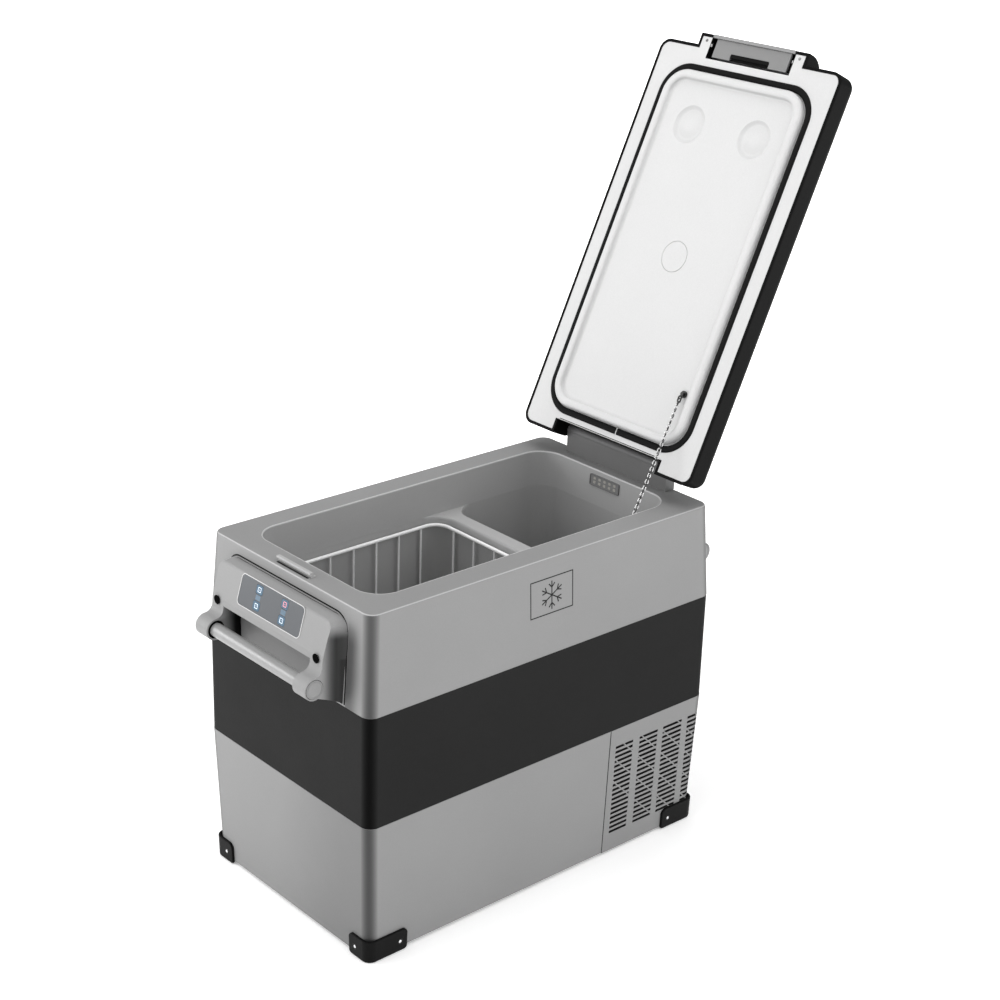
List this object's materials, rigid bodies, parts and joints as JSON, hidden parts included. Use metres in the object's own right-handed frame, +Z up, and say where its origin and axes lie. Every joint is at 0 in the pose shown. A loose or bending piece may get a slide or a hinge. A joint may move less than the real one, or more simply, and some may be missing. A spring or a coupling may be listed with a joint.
{
  "type": "portable compressor refrigerator",
  "caption": "Portable compressor cooler fridge with two wells, an end-hinged lid shown open on a stay chain, a wire basket, end handles and a slotted machine compartment.",
  "frame": {"origin": "on the floor, under the middle of the body (the open lid is left out of the centring)", "axes": "+Z up; +X towards the hinge and the machine compartment, -X towards the control panel and latch; Y across the width"},
  "size_m": [0.8976, 0.3576, 1.0905],
  "materials": {
    "body_grey": "matte",
    "grip_grey": "satin",
    "band_charcoal": "matte",
    "coated_steel": "satin",
    "liner_grey": "satin",
    "foam": "matte",
    "steel": "satin",
    "bright_steel": "polished",
    "control_window": "gloss",
    "circuit_board": "satin",
    "key": "gloss",
    "key_red": "gloss",
    "striker_grey": "satin",
    "hinge_grey": "matte",
    "lamp_lens": "gloss",
    "white_wire": "gloss",
    "compressor_black": "satin",
    "black_rubber": "matte",
    "fin_aluminium": "satin",
    "black_plastic": "matte",
    "module_metal": "satin",
    "copper": "satin",
    "tube_aluminium": "satin",
    "lid_black": "satin",
    "lid_white": "satin",
    "gasket_rubber": "matte",
    "latch_grey": "satin",
    "guard_black": "matte"
  },
  "bodies": {
    "cabinet": {"ac_inlet": "black_plastic", "base_plate": "coated_steel", "bay_partition": "coated_steel", "chain_anchor_body": "bright_steel", "compressor": "compressor_black", "compressor_feet": "black_rubber", "condenser": "fin_aluminium", "control_module": "module_metal", "control_window": "control_window", "corner_guard_front_left": "guard_black", "corner_guard_front_right": "guard_black", "corner_guard_rear_left": "guard_black", "corner_guard_rear_right": "guard_black", "dc_inlet": "black_plastic", "discharge_line": "copper", "display_board": "circuit_board", "evaporator_tube": "tube_aluminium", "fan_bracket": "coated_steel", "fan_frame": "black_plastic", "filter_drier": "copper", "foam_insulation": "foam", "front_grip": "grip_grey", "front_grip_caps": "body_grey", "front_handle_bracket": "body_grey", "guard_screws": "bright_steel", "handle_screws": "steel", "hinge_block": "hinge_grey", "hinge_pins": "steel", "inner_liner": "liner_grey", "interior_lamp": "lamp_lens", "latch_striker": "striker_grey", "lower_shell": "body_grey", "middle_band": "band_charcoal", "rear_grip": "grip_grey", "rear_grip_caps": "body_grey", "rear_handle_bracket": "body_grey", "rim_screws": "steel", "upper_shell": "body_grey", "vent_cover": "body_grey"},
    "lid": {"lid_outer_shell": "lid_black", "lid_inner_liner": "lid_white", "lid_foam": "foam", "lid_gasket": "gasket_rubber", "lid_plug": "lid_white", "latch_pin": "steel", "latch_spring": "steel", "tongue_screws": "steel", "chain_anchor_lid": "bright_steel", "lid_chain": "bright_steel"},
    "latch": {"latch_paddle": "latch_grey"},
    "basket": {"basket_side_left": "white_wire", "basket_side_right": "white_wire", "basket_end_control": "white_wire", "basket_end_divider": "white_wire", "basket_floor": "white_wire"},
    "fan": {"fan_rotor": "black_plastic"},
    "key_up": {"button_up": "key"},
    "key_down": {"button_down": "key"},
    "key_power": {"button_power": "key_red"},
    "key_settings": {"button_settings": "key"}
  },
  "joints": [
    {"name": "lid_hinge", "type": "hinge", "parent": "cabinet", "child": "lid", "pos_m": [0.2857, 0, 0.5326], "axis": [0, 1, 0], "range_deg": [-115.1, 0], "deforming": ["lid_chain"]},
    {"name": "latch_release", "type": "hinge", "parent": "lid", "child": "latch", "pos_m": [0.51318, 0, 1.05736], "axis": [0, 1, 0], "range_deg": [0, 12], "stiffness_Nm_per_rad": 0.15, "springref_deg": -20.05, "deforming": ["latch_spring"]},
    {"name": "basket_lift", "type": "slide", "parent": "cabinet", "child": "basket", "axis": [0, 0, 1], "range_m": [0, 0.4]},
    {"name": "fan_spin", "type": "hinge", "parent": "cabinet", "child": "fan", "pos_m": [0.19, 0.074, 0.082], "axis": [0, 1, 0], "continuous": true},
    {"name": "key_up_press", "type": "slide", "parent": "cabinet", "child": "key_up", "axis": [0.9603, 0, -0.279], "range_m": [0, 0.0006], "stiffness_N_per_m": 900},
    {"name": "key_down_press", "type": "slide", "parent": "cabinet", "child": "key_down", "axis": [0.9603, 0, -0.279], "range_m": [0, 0.0006], "stiffness_N_per_m": 900},
    {"name": "key_power_press", "type": "slide", "parent": "cabinet", "child": "key_power", "axis": [0.9603, 0, -0.279], "range_m": [0, 0.0006], "stiffness_N_per_m": 900},
    {"name": "key_settings_press", "type": "slide", "parent": "cabinet", "child": "key_settings", "axis": [0.9603, 0, -0.279], "range_m": [0, 0.0006], "stiffness_N_per_m": 900}
  ]
}
